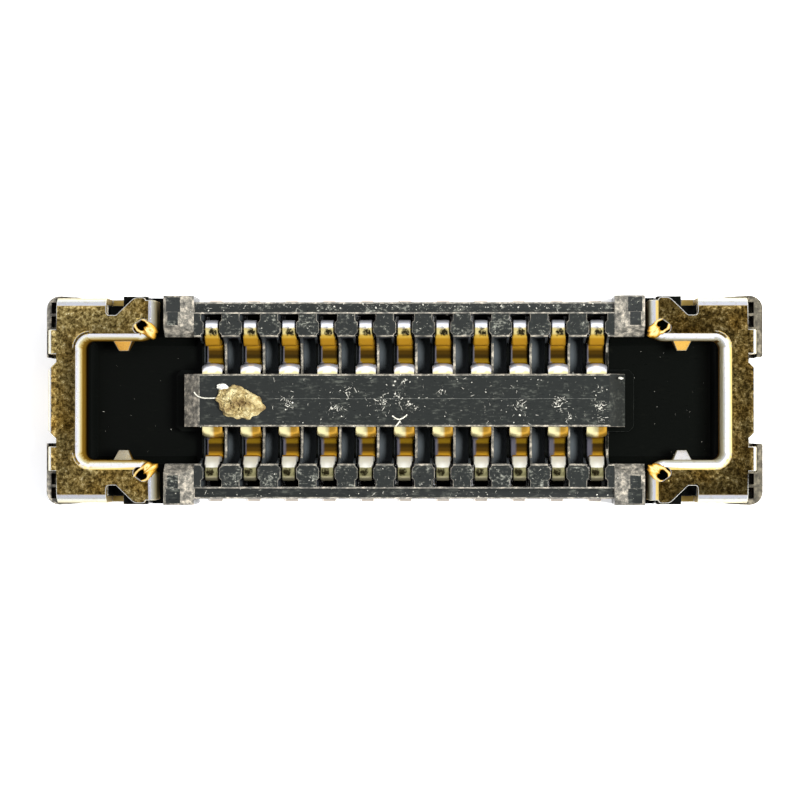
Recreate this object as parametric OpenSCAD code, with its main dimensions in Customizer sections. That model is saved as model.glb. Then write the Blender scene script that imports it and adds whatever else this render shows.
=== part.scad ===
// Board-to-board receptacle for a flexible circuit, two rows of formed contacts round a centre
// island, with a folded hold-down fitting over each end. Lengths are millimetres, angles degrees.
// X runs along the rows, Y across them, Z up from the board. The origin is the middle of the
// solder plane.

/* [Rows] */
// Contacts in each of the two rows
positions = 11; // [6:1:16]
// Distance from one contact to the next
pitch = 0.35; // [0.345:0.005:0.4]

/* [Body] */
// Height of the fittings' top faces above the board
body_h = 0.6; // [0.56:0.01:0.7]
// Width over the posts and corners
body_w = 1.9; // [1.86:0.01:2]
// Length from the last contact's centre to the end of the housing
end_zone = 1.5; // [1.44:0.01:1.7]
// Gap between the board and the underside of the housing
standoff = 0.02; // [0.01:0.005:0.03]
// Thickness of the housing floor
floor_t = 0.08; // [0.06:0.01:0.1]
// Height of the tops of the row walls and the island above the board
wall_top = 0.52; // [0.5:0.01:0.53]
// Chamfer along moulded edges
edge = 0.012; // [0.006:0.002:0.016]

/* [Row walls] */
// Width of the moat between the two row walls, which the plug fills
moat_w = 1.15; // [1.12:0.01:1.18]
// How far the row walls are set in from the posts
row_inset = 0.055; // [0.03:0.005:0.07]
// Width of the low ledge along the outside of a row wall
ledge_w = 0.095; // [0.06:0.005:0.1]
// Drop from the wall's top to that ledge
ledge_drop = 0.05; // [0.02:0.01:0.1]
// Open space in a slot behind the contact's standing leg
slot_relief = 0.0515; // [0.03:0.0005:0.055]
// Gap beside a spring tip in its slot
tip_side_gap = 0.004; // [0.003:0.001:0.01]
// Gap between a contact and the lobes that hold it
grip_gap = 0.005; // [0.002:0.001:0.01]
// Thickness of the low ribs beside each contact in the moat
rib_t = 0.022; // [0.018:0.002:0.026]
// Height of those ribs above the floor
rib_h = 0.12; // [0.06:0.01:0.2]
// How much higher they climb against the row wall
rib_rise = 0.2; // [0.05:0.01:0.25]
// Length of that climb
rib_rise_l = 0.06; // [0.04:0.01:0.1]
// Depth of the pockets between the ribs below the floor
pocket_drop = 0.04; // [0.02:0.01:0.05]

/* [Island] */
// Width of the island's top
island_w = 0.48; // [0.44:0.01:0.5]
// Length of the island's flat top past the last contact's centre
island_reach = 0.11; // [0.1:0.01:0.12]
// Length of its sloped end
island_slope = 0.15; // [0.1:0.01:0.16]
// Drop of that slope
island_slope_drop = 0.14; // [0.1:0.01:0.2]
// Thickness of the island's rim over the spring tips
rim_t = 0.055; // [0.04:0.005:0.06]
// Depth of the notch under the rim that takes a spring tip
tip_notch = 0.06; // [0.03:0.01:0.08]
// Width of the low foot at each end of the island
foot_w = 0.566; // [0.52:0.002:0.6]
// Length of that foot beyond the slope
foot_l = 0.09; // [0.05:0.01:0.1]
// Height of that foot above the floor
foot_h = 0.12; // [0.06:0.01:0.2]

/* [Posts] */
// Distance from the last contact's centre to the foot of the post's slope
post_start = 0.158; // [0.15:0.002:0.17]
// Length of the post from there to its outer face
post_l = 0.272; // [0.25:0.002:0.29]
// Height of the posts above the board
post_top = 0.58; // [0.55:0.01:0.6]
// Length of the slope that faces the middle of the connector
post_slope = 0.136; // [0.1:0.002:0.15]
// Width of the slope that leads the plug into the moat
post_lead = 0.1; // [0.06:0.01:0.12]
// Drop of that slope
post_lead_drop = 0.14; // [0.08:0.01:0.2]
// Step down from the post's inner top to its outer one, in line with the row wall's ledge
post_step = 0.008; // [0.004:0.002:0.012]

/* [Contacts] */
// Thickness of the contact strip
strip_t = 0.055; // [0.045:0.005:0.06]
// Width of the strip where the wall holds it
contact_w = 0.135; // [0.12:0.005:0.145]
// Width of the strip in the moat
arm_w = 0.14; // [0.11:0.005:0.15]
// Width of the spring tip
tip_w = 0.18; // [0.16:0.005:0.19]
// Width of the solder tail
tail_w = 0.12; // [0.09:0.005:0.13]
// How far a tail stands out of the row wall
tail_out = 0.04; // [0.02:0.01:0.08]
// Distance from the moat's face back to the middle of the standing leg
leg_inset = 0.13; // [0.12:0.002:0.14]
// How far the contact's cap lies below the wall's top
cap_drop = 0.02; // [0.01:0.01:0.04]
// How far the lock bump's middle stands out into the moat
lock_out = 0.055; // [0.03:0.005:0.07]
// Height of the lock bump above the floor
lock_h = 0.26; // [0.22:0.01:0.3]
// Distance from the island's side to the middle of the spring arm
arm_gap = 0.075; // [0.07:0.005:0.09]
// Gap between the spring tip and the rim above it
tip_gap = 0.01; // [0.005:0.005:0.02]

/* [Fittings] */
// Thickness of the fittings' sheet
fit_t = 0.06; // [0.045:0.005:0.065]
// Inside radius of the folds at the mouth and the arms' ends
fold_r = 0.025; // [0.015:0.005:0.03]
// Inside radius of the folds along the sides
side_fold_r = 0.05; // [0.03:0.01:0.06]
// Gap between the fittings and the plastic beside them
fit_gap = 0.005; // [0.002:0.001:0.01]
// How far both fittings and their seats lie off the housing's middle, towards -X
fit_shift = 0.02; // [0:0.005:0.025]
// Width of the mouth between the two arms' inner flanges
mouth_w = 1.086; // [1.06:0.002:1.1]
// Distance from the end of the housing to the mouth's end flange
end_bar = 0.355; // [0.34:0.005:0.37]
// Radius of the mouth's corners, at the flange's face
mouth_r = 0.075; // [0.05:0.005:0.1]
// Gap between a post and the tab at the arm's end
post_gap = 0.053; // [0.04:0.001:0.08]
// Radius of the flange where it turns round the arm's end, at its face
arm_r = 0.157; // [0.145:0.001:0.16]
// Height of the inner flanges' lower edges above the board
flange_z = 0.2; // [0.18:0.01:0.26]
// How far the side flanges' faces are set in from the housing's width
side_inset = 0.02; // [0.01:0.005:0.03]
// Length of the side flanges
side_l = 0.45; // [0.4:0.01:0.47]
// Length of the toe that widens a side flange at the board
toe_l = 0.12; // [0.06:0.01:0.13]
// Height of that toe
toe_h = 0.18; // [0.1:0.01:0.25]
// Width of the notch beside the side flange
notch_l = 0.14; // [0.13:0.01:0.15]
// Depth of that notch into the plate, from the side flange's face
notch_d = 0.16; // [0.13:0.01:0.17]
// Width of the middle tab over the housing's end
end_tab_w = 0.54; // [0.44:0.01:0.56]
// How much wider that tab is on each side at its root
tab_slant = 0.08; // [0.04:0.01:0.09]
// Width of each outer tab over the housing's end
outer_tab_w = 0.22; // [0.16:0.01:0.22]
// Gap between those tabs
tab_gap = 0.15; // [0.14:0.01:0.17]
// How far the end tabs' faces are set in from the housing's end
end_inset = 0.04; // [0.035:0.005:0.05]
// Height of the outer end tabs' lower edges above the board
outer_tab_z = 0.22; // [0.15:0.01:0.3]
// Length of the relief hole at each arm's end
relief_l = 0.15; // [0.1:0.01:0.16]
// Width of that hole
relief_w = 0.095; // [0.06:0.005:0.1]
// Distance from the arm's end tab to the middle of the lock bump
bump_pos = 0.312; // [0.28:0.002:0.34]
// Width of the lock bump at the flange
bump_w = 0.17; // [0.12:0.01:0.2]
// How far the lock bump stands out of the flange
bump_out = 0.09; // [0.05:0.01:0.1]
// Height of the lock bump
bump_h = 0.2; // [0.12:0.01:0.22]

/* [Mouth floor] */
// Width of the sloped ledge below the inner flanges
mouth_ledge = 0.07; // [0.04:0.01:0.08]
// Height of that ledge above the floor
mouth_ledge_h = 0.07; // [0.04:0.01:0.09]
// Radius of the housing's outer corners
corner_r = 0.12; // [0.06:0.01:0.12]
// Thickness of the walls round the pockets in each corner
corner_rim = 0.045; // [0.03:0.005:0.05]
// Depth of those pockets
corner_pocket = 0.14; // [0.06:0.01:0.2]
// Thickness of the bridge between them
corner_bridge = 0.026; // [0.015:0.001:0.035]
// How far the rim outside an outer tab reaches past that tab
rim_past = 0.03; // [0.01:0.005:0.04]
// Length over which the rim thins out along the side flange
side_rim_l = 0.2; // [0.1:0.01:0.25]

/* [Hidden] */
plastic = "#3a4042";
gold = "#b9923c";
plate_gold = "#7a6a3e";
arc_steps = 5;     // flat steps in each bend
overcut = 0.05;    // how far a cut runs past the face that it opens
past = 1;          // a length that is sure to pass right through

// Stations along X
row_end = (positions - 1) * pitch / 2;
half_l = row_end + end_zone;
island_flat = row_end + island_reach;
island_end = island_flat + island_slope;
post_in = row_end + post_start;
post_out = post_in + post_l;
tab_face = post_out + post_gap;
mouth_face = half_l - end_bar;
end_face = half_l - end_inset;
side_to = end_face - fold_r - fit_t;
side_from = side_to - side_l;
notch_from = side_from - notch_l;

// Stations along Y
half_w = body_w / 2;
row_face = half_w - row_inset;
ledge_y = row_face - ledge_w;
moat_y = moat_w / 2;
leg_y = moat_y + leg_inset;
slot_back = leg_y + strip_t / 2 + slot_relief;
island_y = island_w / 2;
spring_y = island_y + arm_gap;
tail_end = row_face + tail_out;
mouth_y = mouth_w / 2;
side_face = half_w - side_inset;
tab_in = end_tab_w / 2 + tab_gap;
tab_y = tab_in + outer_tab_w;
rim_y = tab_in - rim_past;

// Width of a contact's slot where it is open
slot_w = tip_w + 2 * tip_side_gap;

// Levels along Z
floor_z = standoff + floor_t;
rim_z = wall_top - rim_t;
plate_z = body_h - fit_t;
seat_z = plate_z - side_fold_r;

// Sheet edges, where each fold leaves the flat plate
fold = fold_r + fit_t;
side_fold = side_fold_r + fit_t;
plate_mouth = mouth_face + fold;
plate_y = mouth_y + fold;
plate_side = side_face - side_fold;
plate_tip = tab_face + fold;
arm_x = tab_face + arm_r;   // middle of the turn round the arm's end
arm_y = mouth_y + arm_r;
back = fit_t + fit_gap;     // from a flange's face to the plastic behind it

function two_digits(i) = str(i < 10 ? "0" : "", i);
function contact_name(row, i) = str("contact_", row, two_digits(i));

// Direction from one point to another
function heading(a, b) = atan2(b.y - a.y, b.x - a.x);

// Change of direction at b, left turns positive
function turn(a, b, c) =
    let (d = heading(b, c) - heading(a, b))
    d > 180 ? d - 360 : d < -180 ? d + 360 : d;

// Points round the corner b = [x, y, radius], each with the direction of the path there
function corner(a, b, c) =
    let (
        bend = turn(a, b, c),
        start = heading(a, b),
        setback = b.z * tan(abs(bend) / 2),
        way = b.z * sign(bend),
        first = [b.x - setback * cos(start), b.y - setback * sin(start)],
        centre = first + way * [-sin(start), cos(start)]
    )
    b.z == 0
        ? [[b.x, b.y, start]]
        : [for (i = [0 : arc_steps])
            let (h = start + bend * i / arc_steps)
            [centre.x + way * sin(h), centre.y - way * cos(h), h]];

// Closed outline of [x, y, radius] points with its corners rounded
function rounded(points) =
    let (n = len(points))
    [for (i = [0 : n - 1])
        each [for (p = corner(points[(i + n - 1) % n], points[i], points[(i + 1) % n]))
            [p.x, p.y]]];

// Open path of [x, y, radius] points with its bends rounded, each point with its direction
function trace(path) =
    let (n = len(path))
    concat(
        [[path[0].x, path[0].y, heading(path[0], path[1])]],
        [for (i = [1 : n - 2]) each corner(path[i - 1], path[i], path[i + 1])],
        [[path[n - 1].x, path[n - 1].y, heading(path[n - 2], path[n - 1])]]
    );

// Outline of a strip of thickness t whose middle follows the path
function strip(path, t) =
    let (line = trace(path), n = len(line))
    concat(
        [for (p = line) [p.x - t / 2 * sin(p.z), p.y + t / 2 * cos(p.z)]],
        [for (i = [n - 1 : -1 : 0])
            let (p = line[i])
            [p.x + t / 2 * sin(p.z), p.y - t / 2 * cos(p.z)]]
    );

// Half outline on the +X side, completed by its mirror image
function both_sides(half) =
    concat(half, [for (i = [len(half) - 1 : -1 : 0]) [-half[i].x, half[i].y, half[i].z]]);

// A section drawn in Y and Z, run along X and centred on x = 0
module along_x(length, points) {
    rotate([90, 0, 90])
        linear_extrude(length, center = true)
            polygon(points);
}

// A section drawn in X and Z, run along Y and centred on y = 0
module along_y(length, points) {
    rotate([90, 0, 0])
        linear_extrude(length, center = true)
            polygon(points);
}

// A plan outline raised from z0 to z1
module raised(points, z0, z1) {
    translate([0, 0, z0])
        linear_extrude(z1 - z0)
            polygon(points);
}

// The children and their mirror image across the connector's length
module both_rows() {
    children();
    mirror([0, 1, 0])
        children();
}

// The children and the same turned half round, at the other end
module both_ends() {
    children();
    rotate([0, 0, 180])
        children();
}

// Both ends as the fittings lie, off the housing's middle
module both_seats() {
    translate([-fit_shift, 0, 0])
        both_ends()
            children();
}

// Housing

// A box centred on Y, between two stations along X
module slab(x0, x1, width, z0, z1) {
    translate([x0, -width / 2, z0])
        cube([x1 - x0, width, z1 - z0]);
}

module floor_plate() {
    inside = 2 * (mouth_y + back + overcut);
    reach = mouth_face + back + overcut;
    slab(-post_out, post_out, 2 * row_face, standoff, floor_z);
    slab(-reach, reach, inside, standoff, floor_z);
}

module row_wall() {
    ledge_z = wall_top - ledge_drop;
    along_x(2 * post_in, [
        [moat_y, standoff],
        [moat_y, wall_top - edge],
        [moat_y + edge, wall_top],
        [ledge_y - edge, wall_top],
        [ledge_y, wall_top - edge],
        [ledge_y, ledge_z],
        [row_face - edge, ledge_z],
        [row_face, ledge_z - edge],
        [row_face, standoff]
    ]);
}

module post() {
    intersection() {
        along_x(2 * post_out, [
            [moat_y, standoff],
            [moat_y, post_top - post_lead_drop],
            [moat_y + post_lead, post_top],
            [ledge_y, post_top],
            [ledge_y, post_top - post_step],
            [half_w - edge, post_top - post_step],
            [half_w, post_top - post_step - edge],
            [half_w, standoff]
        ]);
        along_y(2 * body_w, [
            [post_in, standoff],
            [post_in, wall_top],
            [post_in + post_slope, post_top],
            [post_out - 3 * edge, post_top],
            [post_out, post_top - 2 * edge],
            [post_out, standoff]
        ]);
    }
}

module island() {
    intersection() {
        along_x(2 * island_end, [
            [-island_y, standoff],
            [-island_y, wall_top - edge],
            [-island_y + edge, wall_top],
            [island_y - edge, wall_top],
            [island_y, wall_top - edge],
            [island_y, standoff]
        ]);
        along_y(body_w, [
            [-island_end, standoff],
            [-island_end, wall_top - island_slope_drop],
            [-island_flat, wall_top],
            [island_flat, wall_top],
            [island_end, wall_top - island_slope_drop],
            [island_end, standoff]
        ]);
    }
}

module island_foot() {
    bevel = foot_l / 2;
    reach = island_end + foot_l;
    plan = [
        [island_flat, -foot_w / 2],
        [reach - bevel, -foot_w / 2],
        [reach, -foot_w / 2 + bevel],
        [reach, foot_w / 2 - bevel],
        [reach - bevel, foot_w / 2],
        [island_flat, foot_w / 2]
    ];
    raised(plan, standoff, floor_z + foot_h);
}

// Ribs on both sides of one contact, from the island to the wall, which they climb in a curve
module ribs() {
    level = floor_z + rib_h;
    section = rounded([
        [island_y - tip_notch, standoff, 0],
        [moat_y + tip_notch, standoff, 0],
        [moat_y + tip_notch, level + rib_rise, 0],
        [moat_y, level + rib_rise, 0],
        [moat_y - rib_rise_l, level, 1.6 * rib_rise_l],
        [island_y - tip_notch, level, 0]
    ]);
    for (side = [-1, 1])
        translate([side * (slot_w + rib_t) / 2, 0, 0])
            along_x(rib_t, section);
}

// The housing's plan outline, which holds the ends in
module outline() {
    raised(rounded([
        [half_l, -half_w, corner_r],
        [half_l, half_w, corner_r],
        [-half_l, half_w, corner_r],
        [-half_l, -half_w, corner_r]
    ]), 0, body_h);
}

// Plastic round the mouth and behind the fitting's flanges, one half. A rim wraps the corner
// outside the outer tab and the end of the side flange.
module end_wall_half() {
    reach = side_face - back;
    beside = side_face + fit_gap;
    beyond = end_face + fit_gap;
    outer = half_l + fit_shift;
    plan = rounded([
        [mouth_face + back, 0, 0],
        [mouth_face + back, mouth_y + back, mouth_r + back],
        [tab_face + back, mouth_y + back, arm_r - back],
        [tab_face + back, half_w - fit_gap, corner_rim / 2],
        [notch_from, half_w - fit_gap, 0],
        [notch_from, reach, 0],
        [side_to + fit_gap, reach, 0],
        [side_to + fit_gap, beside, 0],
        [side_to - side_rim_l, beside, 0],
        [side_to, half_w, 0],
        [outer, half_w, 0],
        [outer, rim_y, corner_rim / 2],
        [beyond, rim_y, 0],
        [beyond, tab_y + fit_gap, 0],
        [end_face - back, tab_y + fit_gap, 0],
        [end_face - back, 0, 0]
    ]);
    raised(plan, standoff, seat_z);
    // Foot below the outer tab, which carries the rim
    foot = rounded([
        [end_face - back - overcut, rim_y, 0],
        [outer, rim_y, corner_rim / 2],
        [outer, tab_y + overcut, 0],
        [end_face - back - overcut, tab_y + overcut, 0]
    ]);
    raised(foot, standoff, outer_tab_z - fit_gap);
    seat_x = plate_mouth + fit_gap;
    seat_y = plate_y + fit_gap;
    seat_tip = plate_tip + fit_gap;
    seat = rounded([
        [seat_x, 0, 0],
        [seat_x, seat_y, mouth_r + fold],
        [seat_tip, seat_y, arm_r - fold],
        [seat_tip, plate_side, 0],
        [notch_from, side_face - notch_d, 0],
        [side_to - fit_gap, side_face - notch_d, 0],
        [side_to - fit_gap, 0, 0]
    ]);
    raised(seat, seat_z, plate_z);
    // Low sill between the post and the arm, below the end tab
    sill = [(post_in + post_out) / 2, mouth_y + back, standoff];
    translate(sill)
        cube([arm_x, half_w - fit_gap, flange_z - standoff] - sill);
}

// Sloped ledge round the mouth's floor
module mouth_ledges() {
    ledge_top = floor_z + mouth_ledge_h;
    reach = mouth_y + back;
    wall = mouth_face + back;
    both_rows()
        translate([(post_in + wall) / 2, 0, 0])
            along_x(wall - post_in, [
                [reach + overcut, standoff],
                [mouth_y - mouth_ledge / 2, floor_z],
                [mouth_y + mouth_ledge / 2, ledge_top],
                [reach + overcut, ledge_top]
            ]);
    along_y(2 * reach, [
        [wall + overcut, standoff],
        [mouth_face - mouth_ledge, floor_z],
        [mouth_face - mouth_ledge / 4, ledge_top],
        [wall + overcut, ledge_top]
    ]);
}

// Pockets that lighten each corner and open the notches beside the side flanges
module end_pockets() {
    from = [side_to + 2 * fit_gap, tab_y + corner_rim / 2, seat_z - corner_pocket];
    to = [end_face - corner_rim / 2, half_w - corner_r / 2, past];
    length = (to.y - from.y - corner_bridge) / 2;
    for (y = [from.y, to.y - length])
        translate([from.x, y, from.z])
            cube([to.x - from.x, length, past]);
    translate([notch_from - fit_gap, side_face - notch_d, seat_z - corner_pocket])
        cube([notch_l, past, past]);
    relief_hole(seat_z - corner_pocket);
}

// The slot that one contact drops into, seen from above, widest at its ends and held by lobes
module contact_slot() {
    open = slot_w / 2;
    held = contact_w / 2 + grip_gap;
    lobe = (open - held) / 2;
    tail = tail_w / 2 + grip_gap;
    plan = rounded(both_sides([
        [open, moat_y - overcut, 0],
        [open, moat_y + 2 * lobe, lobe],
        [held, moat_y + 4 * lobe, lobe],
        [held, leg_y, lobe],
        [open, leg_y + 2 * lobe, lobe],
        [open, slot_back, 0]
    ]));
    raised(plan, -past, past);
    // Channel under the wall for the solder tail
    translate([-tail, leg_y, -past])
        cube([2 * tail, past, past + strip_t + grip_gap]);
}

// The notch in the island's side that takes one spring tip
module tip_slot() {
    translate([-slot_w / 2, island_y - tip_notch, floor_z])
        cube([slot_w, tip_notch + overcut, rim_z - floor_z]);
}

// The deep pocket between one contact's ribs and the next contact's
module rib_pocket() {
    width = pitch - slot_w - 2 * rib_t;
    translate([-width / 2, island_y, floor_z - pocket_drop])
        cube([width, moat_y - island_y, past]);
}

module housing() {
    color(plastic)
        difference() {
            union() {
                floor_plate();
                both_rows()
                    row_wall();
                island();
                both_ends() {
                    island_foot();
                    both_rows()
                        post();
                }
                intersection() {
                    outline();
                    both_seats() {
                        both_rows()
                            end_wall_half();
                        mouth_ledges();
                    }
                }
                both_rows()
                    for (i = [1 : positions])
                        translate([contact_x(i), 0, 0])
                            ribs();
            }
            both_rows() {
                for (i = [1 : positions])
                    translate([contact_x(i), 0, 0]) {
                        contact_slot();
                        tip_slot();
                    }
                for (i = [1 : positions - 1])
                    translate([contact_x(i) + pitch / 2, 0, 0])
                        rib_pocket();
            }
            both_seats()
                both_rows()
                    end_pockets();
        }
}

// Contacts

function contact_x(i) = (i - 1) * pitch - row_end;

// Middle of the strip from the solder tail, up the wall, over the cap, down past the lock bump,
// along the floor and up the spring arm to its tip, as [y, z, bend radius]
function contact_path() =
    let (
        tail_z = strip_t / 2,
        cap_z = wall_top - cap_drop - strip_t / 2,
        seat = floor_z + strip_t / 2,
        lock_z = floor_z + lock_h,
        tip_z = rim_z - tip_gap - strip_t / 2
    )
    [
        [tail_end, tail_z],
        [leg_y, tail_z, strip_t],
        [leg_y, cap_z, 0.7 * strip_t],
        [leg_y - 1.2 * strip_t, cap_z, 0.6 * strip_t],
        [moat_y - lock_out, lock_z, 0.55 * strip_t],
        [moat_y - lock_out / 2, lock_z - 2 * strip_t, 0.6 * strip_t],
        [moat_y - lock_out / 2, seat, 0.9 * strip_t],
        [spring_y, seat, 0.9 * strip_t],
        [spring_y - strip_t / 4, (seat + tip_z) / 2, strip_t],
        [spring_y, tip_z, 0.8 * strip_t],
        [island_y - tip_notch / 3, tip_z + strip_t / 6]
    ];

module contact() {
    round_tip = tip_w / 4;
    tip_out = spring_y + strip_t / 2;
    shoulder = tip_out + round_tip;
    plan = rounded(both_sides([
        [tip_w / 2, island_y - tip_notch, 0],
        [tip_w / 2, tip_out, round_tip],
        [arm_w / 2, shoulder, 0],
        [arm_w / 2, moat_y - lock_out / 2, 0],
        [contact_w / 2, moat_y, 0],
        [contact_w / 2, leg_y + strip_t / 2, 0],
        [tail_w / 2, leg_y + strip_t, 0],
        [tail_w / 2, tail_end + overcut, 0]
    ]));
    color(gold)
        intersection() {
            along_x(tip_w, strip(contact_path(), strip_t));
            raised(plan, -past, past);
        }
}

// Fittings

// Section of a fold, from just inside the plate's edge at 0 outwards and down to z
function fold_section(inside_r, z) =
    let (mid = inside_r + fit_t / 2, level = plate_z + fit_t / 2)
    strip([[-fold_r / 2, level], [mid, level, mid], [mid, z]], fit_t);

// A straight fold that starts at a plan point, runs at an angle and turns down to its right
module fold_run(start, angle, length, inside_r, z) {
    translate([start.x, start.y, 0])
        rotate([0, 0, angle])
            translate([length / 2, 0, 0])
                mirror([0, 1, 0])
                    along_x(length, fold_section(inside_r, z));
}

// A fold that turns a corner of the plate, flange outside (way = 1) or inside (way = -1)
module fold_corner(centre, plate_r, way, from) {
    translate([centre.x, centre.y, 0])
        rotate([0, 0, from])
            rotate_extrude(angle = 90, $fn = 64)
                polygon([for (p = fold_section(fold_r, flange_z)) [plate_r + way * p.x, p.y]]);
}

// Slanted relief hole at the arm's end, with round ends, open upwards from z
module relief_hole(z) {
    r = relief_w / 2;
    half = relief_l / 2;
    translate([arm_x - relief_w / 3, arm_y - relief_w / 3, z])
        rotate([0, 0, -35])
            linear_extrude(past)
                polygon(rounded([[-half, -r, r], [half, -r, r], [half, r, r], [-half, r, r]]));
}

// Form of the lock bump on an arm's inner flange, its root set back into the sheet
module lock_form(set_back, root) {
    wide = bump_w / 2;
    middle = (flange_z + seat_z) / 2;
    plan = [
        [-wide, root],
        [-wide, 0],
        [-wide / 2, -bump_out],
        [wide / 2, -bump_out],
        [wide, 0],
        [wide, root]
    ];
    section = [
        [root, middle - bump_h / 2],
        [0, middle - bump_h / 2],
        [-bump_out, middle - bump_h / 5],
        [-bump_out, middle + bump_h / 5],
        [0, middle + bump_h / 2],
        [root, middle + bump_h / 2]
    ];
    translate([tab_face + bump_pos, mouth_y + set_back, 0])
        intersection() {
            raised(plan, 0, past);
            along_x(past, section);
        }
}

module plate_half() {
    notch_y = side_face - notch_d;
    plan = rounded([
        [plate_mouth, 0, 0],
        [plate_mouth, plate_y, mouth_r + fold],
        [plate_tip, plate_y, arm_r - fold],
        [plate_tip, side_face, fold_r],
        [plate_tip + 1.2 * fold, side_face, fold],
        [notch_from + 2 * fold_r, notch_y, fold_r],
        [side_from - fit_gap, notch_y, fold_r],
        [side_from, plate_side, 0],
        [side_to, plate_side, 0],
        [side_to, 0, 0]
    ]);
    raised(plan, plate_z, body_h);
}

// Inner flange from the middle of the mouth's end, round its corner and along the arm, then
// round the arm's end to the tab that faces the post
module inner_flange() {
    turn_x = mouth_face - mouth_r;
    turn_y = mouth_y - mouth_r;
    tab_to = side_face - fold_r;
    fold_run([plate_mouth, turn_y], -90, turn_y, fold_r, flange_z);
    fold_corner([turn_x, turn_y], mouth_r + fold, -1, 0);
    fold_run([arm_x, plate_y], 0, turn_x - arm_x, fold_r, flange_z);
    fold_corner([arm_x, arm_y], arm_r - fold, 1, 180);
    fold_run([plate_tip, tab_to], -90, tab_to - arm_y, fold_r, flange_z);
}

// Side flange with its solder edge and toe
module side_flange() {
    fold_run([side_to, plate_side], 180, side_l, side_fold_r, 0);
    translate([side_from - toe_l, side_face - fit_t, 0])
        cube([toe_l + fit_t, fit_t, toe_h]);
}

// Half the middle tab, wider at its root, and one outer tab over the end of the housing
module end_tabs() {
    wide = end_tab_w / 2;
    root = wide + tab_slant;
    plan = [
        [side_to - fold, 0],
        [end_face + overcut, 0],
        [end_face + overcut, wide],
        [end_face, wide],
        [side_to, root],
        [side_to - fold, root]
    ];
    intersection() {
        fold_run([side_to, 0], 90, root, fold_r, 0);
        raised(plan, -past, past);
    }
    fold_run([side_to, tab_in], 90, outer_tab_w, fold_r, outer_tab_z);
}

module fitting_half() {
    difference() {
        union() {
            plate_half();
            inner_flange();
            side_flange();
            end_tabs();
            lock_form(0, fit_t / 2);
        }
        relief_hole(seat_z);
        lock_form(fit_t, overcut);
    }
}

module fitting() {
    color(plate_gold)
        both_rows()
            fitting_half();
}

// What is drawn

housing();
translate([-fit_shift, 0, 0]) fitting();  // fitting_right
translate([-fit_shift, 0, 0]) rotate([0, 0, 180]) fitting();  // fitting_left
for (i = [1 : positions]) {
    x = contact_x(i);
    translate([x, 0, 0]) contact();
    translate([x, 0, 0]) mirror([0, 1, 0]) contact();
}
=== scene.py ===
"""Looks of the board-to-board receptacle: a slate moulded housing with pale edges, part wear and
part painted highlight, two rows of gold-plated spring contacts, a folded gold-plated fitting over
each end, and the dust, hair and crumpled flake that lie on it. Lengths are millimetres times MM."""
import math
import random

import bpy
from mathutils import Matrix, Vector, noise


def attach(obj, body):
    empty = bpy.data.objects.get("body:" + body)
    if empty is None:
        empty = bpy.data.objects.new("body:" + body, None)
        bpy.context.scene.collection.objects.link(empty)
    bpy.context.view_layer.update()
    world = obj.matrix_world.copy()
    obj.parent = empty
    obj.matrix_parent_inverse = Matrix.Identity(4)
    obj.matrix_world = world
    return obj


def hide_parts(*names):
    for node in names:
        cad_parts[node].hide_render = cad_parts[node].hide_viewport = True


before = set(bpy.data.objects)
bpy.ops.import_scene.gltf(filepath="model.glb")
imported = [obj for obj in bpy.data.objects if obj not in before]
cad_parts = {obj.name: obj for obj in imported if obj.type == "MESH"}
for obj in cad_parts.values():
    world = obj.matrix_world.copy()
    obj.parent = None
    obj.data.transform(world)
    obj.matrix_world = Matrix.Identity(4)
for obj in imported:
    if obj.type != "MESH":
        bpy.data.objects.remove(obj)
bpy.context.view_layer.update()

MM = 0.001

# The photograph's scale, and where the middle of the part lies in its 800-pixel frame
PX_PER_MM = 110.3
PHOTO_SIZE = 800
PART_PX = (404.0, 400.3)

# The contacts' rows, the strip's widths and stations across the row, and the housing's levels. The
# widths are those drawn here, which differ a little from the solids'. The crown is the width over
# which the spring tip's top falls away.
POSITIONS = 11
PITCH = 0.35
STRIP_T = 0.055
LEG_W = 0.12
BUMP_W = 0.136
ARM_W = 0.1556
TIP_W = 0.1689
CROWN_W = 0.19
BODY_H = 0.6
POST_TOP = 0.58
WALL_TOP = 0.52
FLOOR_Z = 0.1
MOAT_Y = 0.575
LEG_Y = 0.705
SPRING_Y = 0.315
ISLAND_Y = 0.24
TIP_Z = 0.4275
CAP_Z = 0.4725
ROW_END = (POSITIONS - 1) * PITCH / 2
BEND_STEPS = 7
LONGEST_STEP = 0.02

# Zones of the housing, by the distance from its middle along and across it
END_X = 3.08
CORNER_X = 2.98
CAVITY_X = 2.18
ISLAND_END_X = 1.87
ISLAND_SLOPE_X = 1.8
OUTER_Y = 0.79

# How far a face looks up, as the height of its normal: a tilted one at least, and a level one
TILTED = 0.2
LEVEL = 0.97

# Middles of the relief holes at the ends of the fittings' arms: the left pair lies farther out
RELIEF_Y = 0.672
RELIEF_HOLES = [(x, way * RELIEF_Y) for x in (-2.365, 2.325) for way in (1, -1)]

# Clusters of crumbs and scratches on the island: place, spread and count
CLUSTERS = [
    (-1.05, -0.03, 0.03, 26), (-0.62, -0.08, 0.035, 18), (-0.50, 0.06, 0.03, 12),
    (-0.20, -0.02, 0.05, 20), (-0.04, 0.03, 0.045, 22), (0.07, -0.05, 0.03, 16),
    (-0.02, 0.17, 0.03, 8), (1.05, -0.06, 0.03, 12), (1.40, -0.03, 0.035, 30),
    (1.50, -0.14, 0.03, 14), (1.78, -0.06, 0.035, 30), (1.80, -0.18, 0.02, 12),
    (1.77, 0.10, 0.03, 10), (0.33, 0.08, 0.02, 6)]


def srgb(code):
    """A hex colour as linear RGBA."""
    values = [int(code[i:i + 2], 16) / 255 for i in (1, 3, 5)]
    return [v / 12.92 if v <= 0.04045 else ((v + 0.055) / 1.055) ** 2.4 for v in values] + [1.0]


def grey(value):
    return (value, value, value, 1.0)


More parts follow.
